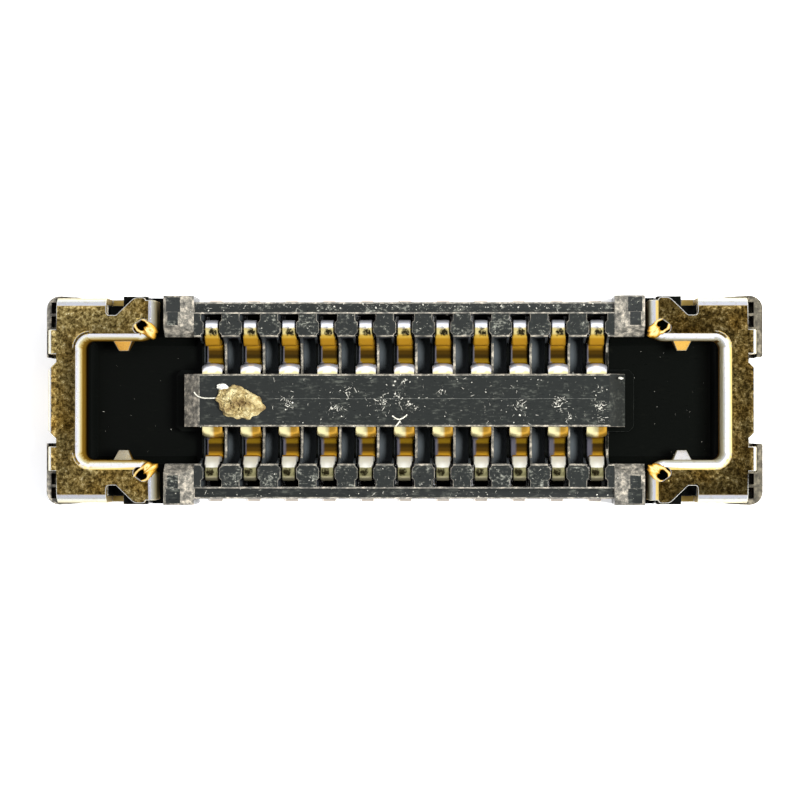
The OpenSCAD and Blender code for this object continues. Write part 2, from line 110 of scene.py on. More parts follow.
def add(tree, kind, links=None, stops=(), **settings):
    """Adds a node with its properties or input values, a colour ramp's stops, and its links. A link
    is an output, a node, whose first output is taken, or a plain number."""
    node = tree.nodes.new(kind)
    for name, value in settings.items():
        if hasattr(node, name):
            setattr(node, name, value)
        else:
            node.inputs[name.replace("_", " ")].default_value = value
    for _ in stops[2:]:
        node.color_ramp.elements.new(0.5)
    for i, (position, colour) in enumerate(stops):
        node.color_ramp.elements[i].position = position
        node.color_ramp.elements[i].color = colour
    for name, source in (links or {}).items():
        if isinstance(source, (int, float)):
            node.inputs[name].default_value = source
        else:
            output = source.outputs[0] if isinstance(source, bpy.types.Node) else source
            tree.links.new(output, node.inputs[name])
    return node


def ramp(tree, source, *stops):
    """A colour ramp over a value; each stop is a position and a hex colour or a grey level."""
    return add(tree, "ShaderNodeValToRGB", {0: source}, stops=[
        (position, srgb(level) if isinstance(level, str) else grey(level))
        for position, level in stops])


def connect(tree, shader, **sources):
    """Links nodes to a shader's inputs, an underscore standing for a blank."""
    for name, source in sources.items():
        output = source.outputs[0] if isinstance(source, bpy.types.Node) else source
        tree.links.new(output, shader.inputs[name.replace("_", " ")])


def new_material(name, **values):
    """A material with one Principled shader, its plain values, and the object's own coordinates."""
    material = bpy.data.materials.new(name)
    material.use_nodes = True
    tree = material.node_tree
    tree.nodes.clear()
    shader = add(tree, "ShaderNodeBsdfPrincipled", **values)
    add(tree, "ShaderNodeOutputMaterial", {"Surface": shader})
    place = add(tree, "ShaderNodeTexCoord").outputs["Object"]
    return material, tree, shader, place


def glass_filled_lcp(name, clean, scuffed, share, gloss=0.5, flow=0.25):
    """Liquid-crystal polymer with glass fibre, injection moulded: a slate grey, half-matt skin with
    fine streaks along the part, longer the smaller flow is. Handling scuffs it, so a share of the
    skin is paler."""
    material, tree, shader, place = new_material(name, IOR=1.5, Specular_IOR_Level=gloss)
    streaks = add(tree, "ShaderNodeMapping", {"Vector": place}, Scale=(flow, 1.0, 1.0))
    grain = add(tree, "ShaderNodeTexNoise", {"Vector": streaks},
                Scale=1 / (0.02 * MM), Detail=4.0, Roughness=0.65)
    patches = add(tree, "ShaderNodeTexNoise", {"Vector": place},
                  Scale=1 / (0.13 * MM), Detail=6.0, Roughness=0.72)
    mix = add(tree, "ShaderNodeMath", {0: grain, 1: patches}, operation="MULTIPLY")
    edge = 0.36 - 0.16 * share
    colour = ramp(tree, mix, (edge - 0.14, clean), (edge, clean), (edge + 0.12, scuffed))
    rough = ramp(tree, grain, (0.3, 0.26), (0.7, 0.38))
    bump = add(tree, "ShaderNodeBump", {"Height": grain}, Strength=0.2, Distance=0.002 * MM)
    connect(tree, shader, Base_Color=colour, Roughness=rough, Normal=bump)
    return material


def rubbed_lcp(name, stops):
    """The same plastic where it is rubbed: the glass fibre shows, so it is pale, patchy and matt.
    Where it is used is partly painted light: a painted highlight on lit edges, and a darker copy as
    painted shade on the right rim."""
    material, tree, shader, place = new_material(name, Roughness=0.6, IOR=1.55)
    wear = add(tree, "ShaderNodeTexNoise", {"Vector": place},
               Scale=1 / (0.05 * MM), Detail=6.0, Roughness=0.75)
    bump = add(tree, "ShaderNodeBump", {"Height": wear}, Strength=0.6, Distance=0.004 * MM)
    connect(tree, shader, Base_Color=ramp(tree, wear, *stops), Normal=bump)
    return material


def rolled_gold(name, colours):
    """Flash gold on rolled copper alloy, left dull: the rolls' fine pits break the reflection into
    olive and brass-coloured grains, 0.01 to 0.03 mm across."""
    material, tree, shader, place = new_material(name, Metallic=1.0)
    grain = add(tree, "ShaderNodeTexNoise", {"Vector": place},
                Scale=1 / (0.036 * MM), Detail=5.0, Roughness=0.8)
    warm = add(tree, "ShaderNodeTexNoise", {"Vector": place}, Scale=1 / (0.3 * MM), Detail=3.0)
    grains = ramp(tree, grain, *zip((0.36, 0.46, 0.56, 0.66), colours))
    tint = ramp(tree, warm, (0.4, "#ffffff"), (0.7, "#f3dca8"))
    colour = add(tree, "ShaderNodeMix", {6: grains, 7: tint}, data_type="RGBA",
                 blend_type="MULTIPLY", Factor=1.0)
    rough = ramp(tree, grain, (0.35, 0.34), (0.7, 0.2))
    bump = add(tree, "ShaderNodeBump", {"Height": grain}, Strength=0.6, Distance=0.005 * MM)
    connect(tree, shader, Base_Color=colour.outputs[2], Roughness=rough, Normal=bump)
    return material


def bent_gold(name, colours, deep="#ffffff", turn=0.3):
    """Gold over nickel on a stamped and folded sheet. Its colour is picked by how far each face
    looks up, as painted light: a painted white highlight on each fold, with a yellow line where the
    flat begins and a deeper gold on the faces that look up by less than turn. A painted shade
    darkens the colour by deep towards the bottom. Its fine scratches scatter much of the light."""
    material, tree, shader, place = new_material(name, Metallic=0.78)
    normal = add(tree, "ShaderNodeNewGeometry").outputs["Normal"]
    upright = add(tree, "ShaderNodeSeparateXYZ", {0: normal})
    slopes = (0.0, turn, 0.5, 0.7, 0.93, 0.97, 1.0)
    # Painted highlight: the colour follows how far the face looks up, white on the folds
    colour = ramp(tree, upright.outputs["Z"], *zip(slopes, colours))
    grain = add(tree, "ShaderNodeTexNoise", {"Vector": place},
                Scale=1 / (0.03 * MM), Detail=5.0, Roughness=0.7)
    tarnish = ramp(tree, grain, (0.3, "#e8dfc8"), (0.45, "#ffffff"))
    worn = add(tree, "ShaderNodeMix", {6: colour, 7: tarnish}, data_type="RGBA",
               blend_type="MULTIPLY", Factor=1.0)
    height = add(tree, "ShaderNodeSeparateXYZ", {0: place})
    share = add(tree, "ShaderNodeMath", {0: height.outputs["Z"], 1: 1 / (BODY_H * MM)},
                operation="MULTIPLY")
    # Painted shade: darker towards the bottom, down to the deep colour
    depth = ramp(tree, share, (0.5, deep), (0.68, "#ffffff"))
    shaded = add(tree, "ShaderNodeMix", {6: worn.outputs[2], 7: depth}, data_type="RGBA",
                 blend_type="MULTIPLY", Factor=1.0)
    bump = add(tree, "ShaderNodeBump", {"Height": grain}, Strength=0.2, Distance=0.002 * MM)
    rough = ramp(tree, upright.outputs["Z"], (0.58, 0.55), (0.68, 0.2), (0.89, 0.2), (0.94, 0.5))
    connect(tree, shader, Base_Color=shaded.outputs[2], Roughness=rough, Normal=bump)
    return material


def contact_gold():
    """Gold over nickel on the contact strip. One colour attribute holds its colour from place to
    place, and its roughness as alpha. The colour is mostly painted light: painted highlights on the
    cap and the spring tip, painted shade down in the moat and the T recess, a lavender painted
    reflection along one side of the floor, and the two rows lit differently. Another attribute
    holds a dark patch in the cap's hollow."""
    material, tree, shader, place = new_material("gold_contacts_painted_light", Metallic=0.85)
    plating_and_light = add(tree, "ShaderNodeAttribute", attribute_name="plating_and_light")
    hollow_dark = add(tree, "ShaderNodeAttribute", attribute_name="hollow_dark")
    grain = add(tree, "ShaderNodeTexNoise", {"Vector": place},
                Scale=1 / (0.022 * MM), Detail=3.0, Roughness=0.6)
    cover = add(tree, "ShaderNodeMath", {0: hollow_dark.outputs["Fac"], 1: grain}, operation="MULTIPLY")
    share = ramp(tree, cover, (0.2, 0.0), (0.42, 1.0))
    darkened = add(tree, "ShaderNodeMix", {0: share, 6: plating_and_light}, data_type="RGBA", B=srgb("#241f0c"))
    bump = add(tree, "ShaderNodeBump", {"Height": grain}, Strength=0.15, Distance=0.002 * MM)
    connect(tree, shader, Base_Color=darkened.outputs[2], Roughness=plating_and_light.outputs["Alpha"],
            Normal=bump)
    return material


def speckled(name, stops, grain_mm, roughness):
    """Loose matter on the part: matt, with its colour broken up by grain of one size."""
    material, tree, shader, place = new_material(name, Roughness=roughness, IOR=1.45)
    grain = add(tree, "ShaderNodeTexNoise", {"Vector": place},
                Scale=1 / (grain_mm * MM), Detail=5.0, Roughness=0.7)
    bump = add(tree, "ShaderNodeBump", {"Height": grain}, Strength=0.6,
               Distance=0.2 * grain_mm * MM)
    connect(tree, shader, Base_Color=ramp(tree, grain, *stops), Normal=bump)
    return material


def select_only(obj):
    """Leaves one object selected and active, in object mode."""
    bpy.ops.object.select_all(action="DESELECT")
    obj.select_set(True)
    bpy.context.view_layer.objects.active = obj


def apply_modifiers(obj):
    select_only(obj)
    for modifier in list(obj.modifiers):
        bpy.ops.object.modifier_apply(modifier=modifier.name)


def edit_copy(node, name, merge_mm):
    """A copy of a CAD node's mesh, its loose triangles merged and its flat faces made whole."""
    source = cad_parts[node]
    piece = bpy.data.objects.new(name, source.data.copy())
    bpy.context.scene.collection.objects.link(piece)
    select_only(piece)
    bpy.ops.object.mode_set(mode="EDIT")
    bpy.ops.mesh.select_mode(type="EDGE")
    bpy.ops.mesh.select_all(action="SELECT")
    bpy.ops.mesh.remove_doubles(threshold=merge_mm * MM)
    bpy.ops.mesh.dissolve_limited(angle_limit=math.radians(1.0))
    bpy.ops.object.mode_set(mode="OBJECT")
    piece.data.materials.clear()
    return piece


def round_edges(piece, width_at, base_mm, angle, smooth, worn_and_lit_slot=-1):
    """Rounds the edges sharper than an angle, each by the width that width_at gives for its middle,
    and shades the rest smooth up to an angle."""
    bpy.ops.object.mode_set(mode="EDIT")
    bpy.ops.mesh.select_all(action="DESELECT")
    bpy.ops.mesh.edges_select_sharp(sharpness=math.radians(angle))
    bpy.ops.object.mode_set(mode="OBJECT")
    mesh = piece.data
    weights = mesh.attributes.new("bevel_weight_edge", "FLOAT", "EDGE")
    for edge in mesh.edges:
        if edge.select:
            ends = [mesh.vertices[i].co / MM for i in edge.vertices]
            weights.data[edge.index].value = width_at((ends[0] + ends[1]) / 2) / base_mm
    bpy.ops.object.shade_smooth_by_angle(angle=math.radians(smooth))
    bevel = piece.modifiers.new("rounding", "BEVEL")
    bevel.width = base_mm * MM
    bevel.segments = 2
    bevel.limit_method = "WEIGHT"
    # The rounded edges take this slot's pale finish, part wear and part painted highlight
    bevel.material = worn_and_lit_slot
    bevel.use_clamp_overlap = False
    flats = piece.modifiers.new("flats", "WEIGHTED_NORMAL")
    flats.weight = 90
    flats.keep_sharp = True
    apply_modifiers(piece)


def finish_piece(piece, slot, *nodes):
    """Hides the CAD nodes that a piece stands in for, and hangs the piece on the root body. The
    finish it takes, slot, is not used.
    """
    if nodes:
        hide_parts(*nodes)
    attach(piece, "root")


def housing_edge_width(at):
    """Rounding of a moulded edge: thin walls and the underside keep theirs very small."""
    x, y, z = abs(at.x), abs(at.y), at.z
    if z < 0.06:
        return 0
    if z < 0.4:
        return 0.0015
    thin_wall = 0.77 < y < 0.815 or 2.14 < x < 2.2 or 2.5 < x < 2.56
    if at.x > 1.8 and y < 0.23:
        return 0
    return 0.0015 if thin_wall else 0.004


TOPS, RUBBED_AND_LIT, SLOTS, WELLS, WALLS, RIM = range(6)


def housing_finish(face, mesh):
    """Which of the housing's finishes a face has, by where it is and how it lies."""
    x, y, z = (abs(c) / MM for c in face.center)
    up = face.normal.z
    left = face.center.x < 0
    # Painted light: the left end takes the pale rubbed finish, the right end a darker copy in
    # painted shade
    if x > END_X and up > TILTED:
        return RUBBED_AND_LIT if left else RIM
    # Painted light: the level floors of the left corner pockets take the pale finish
    if left and x > CORNER_X and up > LEVEL and z > 0.3:
        return RUBBED_AND_LIT
    # Painted shade: the end cavities take the near-black wells finish
    if CAVITY_X < x < CORNER_X and 0.06 < z < 0.5 and y < 0.94:
        return WELLS
    if y > OUTER_Y or x > CORNER_X or z < 0.05:
        if z > 0.3 and TILTED < up < LEVEL:
            return RUBBED_AND_LIT
        return WALLS if up > LEVEL and (y < 0.7 or face.center.y > 0) else TOPS
    right_slope = not left and x > ISLAND_SLOPE_X and y < 0.3
    if z > 0.44 and up > 0.25:
        return RUBBED_AND_LIT if up < LEVEL and not right_slope else WALLS if y > 0.45 else TOPS
    # Painted shade on the faces past the island's end, except its right foot
    if x > ISLAND_END_X:
        width = max(abs(mesh.vertices[i].co.y) for i in face.vertices) / MM
        right_foot = not left and x < 2.1 and width < 0.3 and up > TILTED and z > 0.1
        return TOPS if right_foot else WELLS
    ends = [mesh.vertices[i].co.x / MM for i in face.vertices]
    narrow = max(ends) - min(ends) < 0.03 and z > 0.19 and up > TILTED and y < 0.52
    right_of_contact = (sum(ends) / len(ends) + ROW_END + PITCH / 2) % PITCH > PITCH / 2
    # Painted highlight on the rib faces right of each contact, painted shade on the others
    if narrow:
        return RUBBED_AND_LIT if right_of_contact else WELLS
    return SLOTS


def make_housing():
    """The moulding. Its high edges are pale, part wear and part painted highlight; deeper and
    right-hand ones, in painted shade, keep the finish beside them."""
    piece = edit_copy("housing", "moulded_housing", 0.0002)
    for material in (  # in the order of the finishes
            glass_filled_lcp("lcp_scuffed_tops", "#181a19", "#3c3e39", 0.5, 0.3),
            rubbed_lcp("lcp_rubbed_edges_and_highlights", [
                (0.36, "#2c2b27"), (0.5, "#5c5951"), (0.66, "#a09889")]),
            # A paler copy of the plastic for the slots and pockets: painted light on their lamp-lit
            # sides
            glass_filled_lcp("lcp_slots_painted_light", "#383c3e", "#3f4345", 0.1, 0.1),
            # Near black for the deep wells: painted shade
            glass_filled_lcp("lcp_wells_painted_shade", "#050605", "#0b0c09", 0.2, 0.05),
            glass_filled_lcp("lcp_dusty_walls", "#1a1c1b", "#72736a", 0.48, 0.3, 0.6),
            # A darker copy of the rubbed finish for the right end's rim: painted shade
            rubbed_lcp("lcp_rim_painted_shade", [(0.36, "#24221c"), (0.5, "#423e34"), (0.66, "#6c6657")])):
        piece.data.materials.append(material)
    for face in piece.data.polygons:
        face.material_index = housing_finish(face, piece.data)
    round_edges(piece, housing_edge_width, 0.004, 30, 20, RUBBED_AND_LIT)
    # Painted shade: low and right-hand edges go back to the darker finish beside them
    for face in piece.data.polygons:
        low = face.center.z < 0.44 * MM or face.center.x > END_X * MM
        if face.material_index == RUBBED_AND_LIT and low:
            face.material_index = housing_finish(face, piece.data)
    finish_piece(piece, "plastic", "housing")


FLAT, BENT, TORN, MOUTH = range(4)


def make_fitting(side, *finishes):
    """A fitting in its four finishes: rolled on top and, as a painted shade, on the first step of
    most folds; the torn lips' finish on the bumps beside row a, a deeper gold as painted shade; one
    kind of bent gold round the mouth and another elsewhere."""
    node = "fitting_" + side
    piece = edit_copy(node, "hold_down_" + side, 0.0006)
    for material in finishes:
        piece.data.materials.append(material)
    for face in piece.data.polygons:
        x, y = abs(face.center.x / MM), face.center.y / MM
        end_fold = x > 3.1 and face.normal.z > 0.8
        # Painted shade: the first step of folds tilted toward +X or -Y, or lying outward, takes the
        # darker rolled finish
        first_step_in_shade = face.normal.z > 0.93 and (
            face.normal.x > 0.1 or face.normal.y < -0.1 or abs(y) > 0.8)
        top = face.normal.z > 0.999
        grained = face.center.z > 0.5 * MM and (top or end_fold or first_step_in_shade)
        # Painted shade: the bumps beside row a face away from the light and take the torn lips'
        # deeper gold
        bump = 0 < y < 0.54 and x < 2.85
        at_mouth = abs(y) < 0.66 and x < 3.05
        face.material_index = FLAT if grained else TORN if bump else MOUTH if at_mouth else BENT
    round_edges(piece, lambda at: 0.005, 0.005, 35, 35, BENT)
    finish_piece(piece, "plate_gold", node)


def bend_points(path):
    """Stations along a path of (y, z, radius): each bend is an arc of equal steps, and the straight
    parts after the tail are cut into equal lengths."""
    stations = [Vector(path[0][:2])]
    for before, at, after in zip(path, path[1:], path[2:]):
        corner = Vector(at[:2])
        back = (Vector(before[:2]) - corner).normalized()
        ahead = (Vector(after[:2]) - corner).normalized()
        bend = math.pi - back.angle(ahead)
        setback = at[2] * math.tan(bend / 2)
        start = corner + back * setback
        inward = (back + ahead).normalized()
        centre = corner + inward * math.hypot(setback, at[2])
        turn = 1 if back.x * ahead.y - back.y * ahead.x < 0 else -1
        spoke = start - centre
        for i in range(BEND_STEPS + 1):
            angle = turn * bend * i / BEND_STEPS
            stations.append(centre + Vector((
                spoke.x * math.cos(angle) - spoke.y * math.sin(angle),
                spoke.x * math.sin(angle) + spoke.y * math.cos(angle))))
    stations.append(Vector(path[-1][:2]))
    fine = stations[:2]
    for here, there in zip(stations[1:], stations[2:]):
        parts = max(1, round((there - here).length / LONGEST_STEP))
        fine += [here.lerp(there, (i + 1) / parts) for i in range(parts)]
    return fine


def strip_width(y, z):
    """Width of the contact strip at a station. The tail is as wide as the leg."""
    if y > MOAT_Y + 0.03:
        return LEG_W
    if y > MOAT_Y or z > 0.3 and y > 0.45:
        return BUMP_W
    if y > SPRING_Y + 0.04:
        return ARM_W
    return TIP_W


def model_contact():
    """One contact of row A at x = 0, drawn out of a flat strip and bent station by station."""
    path = [
        (0.935, STRIP_T / 2, 0),
        (LEG_Y, STRIP_T / 2, 0.055),
        (LEG_Y, CAP_Z, 0.053),
        (LEG_Y - 0.07, CAP_Z, 0.04),
        (MOAT_Y - 0.055, 0.36, 0.03),
        (MOAT_Y - 0.0275, 0.25, 0.033),
        (MOAT_Y - 0.0275, FLOOR_Z + STRIP_T / 2, 0.0495),
        (SPRING_Y, FLOOR_Z + STRIP_T / 2, 0.0495),
        (SPRING_Y - 0.014, 0.28, 0.055),
        (SPRING_Y, TIP_Z - 0.014, 0.044),
        (ISLAND_Y - 0.02, TIP_Z + 0.008, 0),
    ]
    stations = bend_points(path)
    columns = 8
    bpy.ops.object.select_all(action="DESELECT")
    bpy.ops.mesh.primitive_grid_add(x_subdivisions=columns, y_subdivisions=1, size=1)
    strip = bpy.context.object
    first, second = stations[0], stations[1]
    for vertex in strip.data.vertices:
        end = first if vertex.co.y > 0 else second
        vertex.co = (vertex.co.x * strip_width(*first) * MM, end.x * MM, end.y * MM)
    bpy.ops.object.mode_set(mode="EDIT")
    bpy.ops.mesh.select_mode(type="EDGE")
    bpy.ops.mesh.select_all(action="DESELECT")
    bpy.ops.object.mode_set(mode="OBJECT")
    for edge in strip.data.edges:
        ends = [strip.data.vertices[i].co for i in edge.vertices]
        edge.select = all(abs(co.y - second.x * MM) < 1e-6 for co in ends)
    bpy.ops.object.mode_set(mode="EDIT")
    for here, there in zip(stations[1:], stations[2:]):
        step = (there - here) * MM
        bpy.ops.mesh.extrude_region_move(
            TRANSFORM_OT_translate={"value": (0, step.x, step.y)})
        widen = strip_width(*there) / strip_width(*here)
        if widen != 1:
            bpy.ops.transform.resize(value=(widen, 1, 1),
                                     center_override=(0, there.x * MM, there.y * MM))
    bpy.ops.object.mode_set(mode="OBJECT")
    shape_cap_and_tip(strip.data)
    solid = strip.modifiers.new("sheet", "SOLIDIFY")
    solid.thickness = STRIP_T * MM
    solid.offset = 0
    solid.use_even_offset = True
    coin = strip.modifiers.new("coined_edges", "BEVEL")
    coin.width = 0.01 * MM
    coin.segments = 3
    coin.limit_method = "ANGLE"
    coin.angle_limit = math.radians(40)
    coin.use_clamp_overlap = False
    apply_modifiers(strip)
    bpy.ops.object.mode_set(mode="EDIT")
    bpy.ops.mesh.select_all(action="SELECT")
    bpy.ops.mesh.normals_make_consistent(inside=False)
    bpy.ops.object.mode_set(mode="OBJECT")
    bpy.ops.object.shade_smooth_by_angle(angle=math.radians(50))
    return strip


def shape_cap_and_tip(mesh):
    """Crowns the spring tip, and presses a small V into the cap where it turns down to the moat."""
    for vertex in mesh.vertices:
        y, z = vertex.co.y / MM, vertex.co.z / MM
        across = abs(vertex.co.x / (CROWN_W / 2 * MM))
        if y < SPRING_Y + 0.03 and z > 0.3:
            vertex.co.y -= 0.03 * MM * across ** 3
            vertex.co.z -= 0.02 * MM * across ** 2
        if 0.575 < y < 0.69 and z > 0.3:
            depth = max(0, 1 - abs(y - 0.635) / 0.05) * max(0, 1 - across / 0.55)
            vertex.co.z -= 0.016 * MM * depth


def plating_at(row, number, x, y, z):
    """Colour and roughness of the plating at a place on a contact, x being across the strip and y
    out along it. The colours are mostly painted light: highlights, shade in the moat and the T
    recess, and the two rows lit differently."""
    if y > LEG_Y + STRIP_T:
        # The tail: a painted highlight on its end outside the housing, painted shade inside the T
        # recess
        return ("#fff4e6", 0.5) if y > 0.865 else ("#181206", 0.6)
    if z < 0.24 and y < 0.66:
        # A lavender painted reflection along one side of the floor, widening along row b
        if x < -0.062 + (0 if row == "a" else 0.0032 * number):
            return ("#8c8a94" if row == "a" else "#76747f"), 0.4
        # Painted shade: the gold darkens from the outer bend into the moat's floor
        steps = ((0.49, "#e0aa2a"), (0.465, "#a87e22"), (0.43, "#5e440f"), (0.385, "#46330c"),
                 (0.0, "#9c7a1a"))
        rough = 0.45
    elif y < 0.36:
        # Painted shade on the half of row b's tip turned from the light
        if row == "b" and x > 0.01:
            return "#cf9e3a", 0.3
        # Painted highlight on the spring tip's top
        steps, rough = ((0.262, "#e6e7ee" if row == "a" else "#efe4ac"), (0.0, "#e6dca8")), 0.28
    elif z < 0.3:
        # Painted shade on the upright parts low in the moat
        return "#2a1e08", 0.6
    elif row == "a":
        # Painted highlight on row a's cap, a yellow line below it, then gold down the slope
        steps = ((0.655, "#e8e9ef"), (0.602, "#e6d592"), (0.56, "#e0b848"), (0.0, "#cf9a26"))
        rough = 0.25 if 0.655 < y < 0.69 else 0.45
    else:
        # Row b's slope towards the moat takes the painted highlight; its cap is duller
        steps = ((0.69, "#b0a886"), (0.608, "#87825c"), (0.51, "#eceade"), (0.0, "#c8922a"))
        rough = 0.3 if y > 0.608 else 0.4
    return next(code for least, code in steps if y > least), rough


def paint_plating(mesh, row, number):
    """Writes the contact's colour, with its painted light, its roughness and the dark patch of the
    cap's hollow on the mesh.
    """
    mesh.attributes.new("plating_and_light", "FLOAT_COLOR", "POINT")
    mesh.attributes.new("hollow_dark", "FLOAT", "POINT")
    plating_and_light, hollow_dark = mesh.attributes["plating_and_light"].data, mesh.attributes["hollow_dark"].data
    for vertex in mesh.vertices:
        x, y, z = (c / MM for c in vertex.co)
        # A dark patch in the cap's hollow, spread along and across the strip
        middle = 0.622 if row == "a" else 0.652
        along = max(0, 1 - abs(y - middle) / 0.05) ** 0.5
        half = 0.05 - 0.4 * max(0, y - middle)
        side = max(0, min(1, (half - abs(x - 0.012)) / 0.02))
        hollow_dark[vertex.index].value = along * side if z > 0.35 else 0
        code, rough = plating_at(row, number, x if row == "a" else -x, y, z)
        plating_and_light[vertex.index].color = srgb(code)[:3] + [rough]


def make_contacts(gold):
    """Both rows, copied from one contact: row b is turned half round."""
    master = model_contact()
    master.data.materials.append(gold)
    for row, way in (("a", 1), ("b", -1)):
        for i in range(POSITIONS):
            name = f"{row}{i + 1:02d}"
            piece = bpy.data.objects.new("contact_strip_" + name, master.data.copy())
            bpy.context.scene.collection.objects.link(piece)
            paint_plating(piece.data, row, i)
            x = i * PITCH - ROW_END
            for vertex in piece.data.vertices:
                co = vertex.co
                vertex.co = (way * co.x + x * MM, way * co.y, co.z)
            finish_piece(piece, "contact_gold", "contact_" + name)
    bpy.data.objects.remove(master)


def make_flake(name, middle, half, height, detail, shift, material):
    """A crumpled scrap lying on the island's top, pointed to the right."""
    bpy.ops.object.select_all(action="DESELECT")
    bpy.ops.mesh.primitive_ico_sphere_add(subdivisions=detail, radius=1)
    flake = bpy.context.object
    flake.name = name
    seed = Vector((3.1 + shift, 7.7, 1.3))
    for vertex in flake.data.vertices:
        way = vertex.co.copy()
        point = max(0.0, way.x) ** 3 * (1 - abs(way.y)) * 0.35
        reach = 0.86 + point + 0.18 * noise.noise(way * 1.6 + seed)
        lumps = noise.noise(way * 3.2 + seed) * 0.16
        creases = abs(noise.noise(way * 6.5 + seed)) * 0.28
        x = middle[0] + half[0] * way.x * (reach + lumps)
        y = middle[1] + half[1] * (way.y * (reach + lumps) + 0.12 * (1 - way.x))
        z = WALL_TOP + max(-0.001, height * way.z * (1.35 + 2.2 * (lumps - creases)))
        vertex.co = (x * MM, y * MM, z * MM)
    flake.data.materials.append(material)
    select_only(flake)
    bpy.ops.object.shade_smooth_by_angle(angle=math.radians(32))
    finish_piece(flake, "plate_gold")


def make_thread(name, points, radius, material):
    """A hair or fibre: a thin round tube along a smooth curve, made a mesh."""
    data = bpy.data.curves.new(name, "CURVE")
    data.dimensions = "3D"
    data.bevel_depth = radius * MM
    data.bevel_resolution = 4
    data.use_fill_caps = True
    spline = data.splines.new("NURBS")
    spline.points.add(len(points) - 1)
    spline.use_endpoint_u = True
    for point, place in zip(spline.points, points):
        point.co = (*(c * MM for c in place), 1)
    thread = bpy.data.objects.new(name, data)
    bpy.context.scene.collection.objects.link(thread)
    select_only(thread)
    bpy.ops.object.convert(target="MESH")
    thread = bpy.context.object
    thread.data.materials.append(material)
    bpy.ops.object.shade_smooth()
    finish_piece(thread, "plastic")


def speck_shapes():
    """Three small crumbs and a splinter of unit size, that the dust is copied from."""
    shapes = []
    for seed, stretch in ((1, (1, 0.7, 0.5)), (2, (0.8, 0.5, 0.4)), (3, (2.6, 0.22, 0.2))):
        bpy.ops.object.select_all(action="DESELECT")
        bpy.ops.mesh.primitive_ico_sphere_add(subdivisions=1, radius=1)
        crumb = bpy.context.object
        for vertex in crumb.data.vertices:
            reach = 1 + 0.5 * noise.noise(vertex.co * 1.7 + Vector((seed, 0, 0)))
            vertex.co = Vector(vertex.co[i] * stretch[i] for i in range(3)) * reach
        shapes.append(([v.co.copy() for v in crumb.data.vertices],
                       [tuple(f.vertices) for f in crumb.data.polygons]))
        bpy.data.objects.remove(crumb)
    return shapes


def scatter(name, places, shapes, material):
    """One mesh of many specks: each place is (x, y, z, size, turn, shape)."""
    vertices, faces = [], []
    for x, y, z, size, turn, kind in places:
        base = len(vertices)
        spin = Matrix.Rotation(turn, 3, "Z")
        at = Vector((x, y, z))
        vertices += [(spin @ co * size + at) * MM for co in shapes[kind][0]]
        faces += [tuple(base + i for i in face) for face in shapes[kind][1]]
    mesh = bpy.data.meshes.new(name)
    mesh.from_pydata(vertices, [], faces)
    piece = bpy.data.objects.new(name, mesh)
    bpy.context.scene.collection.objects.link(piece)
    mesh.materials.append(material)
    finish_piece(piece, "plastic")


def make_dust(material):
    """Pale crumbs, splinters and scratches: spread thinly over the tops, thicker along their edges
    and in the clusters that the photograph shows."""
    draw = random.Random(41)
    shapes = speck_shapes()
    places = []

    def drop(x, y, z, least, most, splinters):
        size = least + (most - least) * draw.random() ** 3
        kind = 2 if draw.random() < splinters else draw.randrange(2)
        places.append((x, y, z, size, draw.uniform(0, math.pi), kind))

    for x, y, spread, count in CLUSTERS:
        for _ in range(2 * count):
            drop(draw.gauss(x, spread), draw.gauss(y, spread), WALL_TOP, 0.002, 0.013, 0.6)
    for _ in range(300):
        drop(draw.uniform(-1.2, 1.8), draw.uniform(-0.215, 0.215), WALL_TOP, 0.0015, 0.009, 0.5)
    for _ in range(150):
        way = draw.choice((-1, 1))
        drop(draw.uniform(-1.85, 1.85), way * draw.gauss(0.228, 0.005), WALL_TOP - 0.003,
             0.002, 0.008, 0.3)
    for _ in range(170):
        way = draw.choice((-1, 1))
        contact = draw.randrange(POSITIONS - 1)
        x = (contact + 0.5) * PITCH - ROW_END + draw.uniform(-0.07, 0.07)
        drop(x, way * draw.uniform(0.6, 0.78), WALL_TOP, 0.002, 0.008, 0.4)
    for _ in range(300):
        way = draw.choice((-1, 1, 1))
        drop(draw.uniform(-1.9, 1.9), way * draw.gauss(0.85, 0.02), WALL_TOP - 0.05,
             0.002, 0.011, 0.4)
    for _ in range(60):
        drop(draw.choice((-1, 1)) * draw.uniform(1.92, 2.16),
             draw.choice((-1, 1)) * draw.uniform(0.66, 0.92), POST_TOP - 0.002,
             0.002, 0.007, 0.3)
    for _ in range(34):
        drop(draw.choice((-1, 1)) * draw.uniform(2.1, 2.8), draw.uniform(-0.5, 0.5), FLOOR_Z,
             0.002, 0.006, 0.3)
    scatter("dust_specks", places, shapes, material)


def make_seam():
    """The fine raised line where two mould inserts met, along the island's top."""
    bpy.ops.object.select_all(action="DESELECT")
    bpy.ops.mesh.primitive_cube_add(size=1)
    seam = bpy.context.object
    seam.name = "island_seam"
    for vertex in seam.data.vertices:
        taper = 0.35 if vertex.co.z > 0 else 1.0
        vertex.co = ((0.26 + 2.96 * vertex.co.x) * MM, (0.015 + 0.008 * taper * vertex.co.y) * MM,
                     (WALL_TOP + (0.0025 if vertex.co.z > 0 else -0.001)) * MM)
    bpy.ops.object.mode_set(mode="EDIT")
    bpy.ops.mesh.select_all(action="SELECT")
    bpy.ops.mesh.subdivide(number_cuts=3)
    bpy.ops.object.mode_set(mode="OBJECT")
    seam.data.materials.append(
        rubbed_lcp("lcp_seam", [(0.4, "#1e2120"), (0.55, "#3e403c"), (0.7, "#7c7a70")]))
    finish_piece(seam, "plastic")


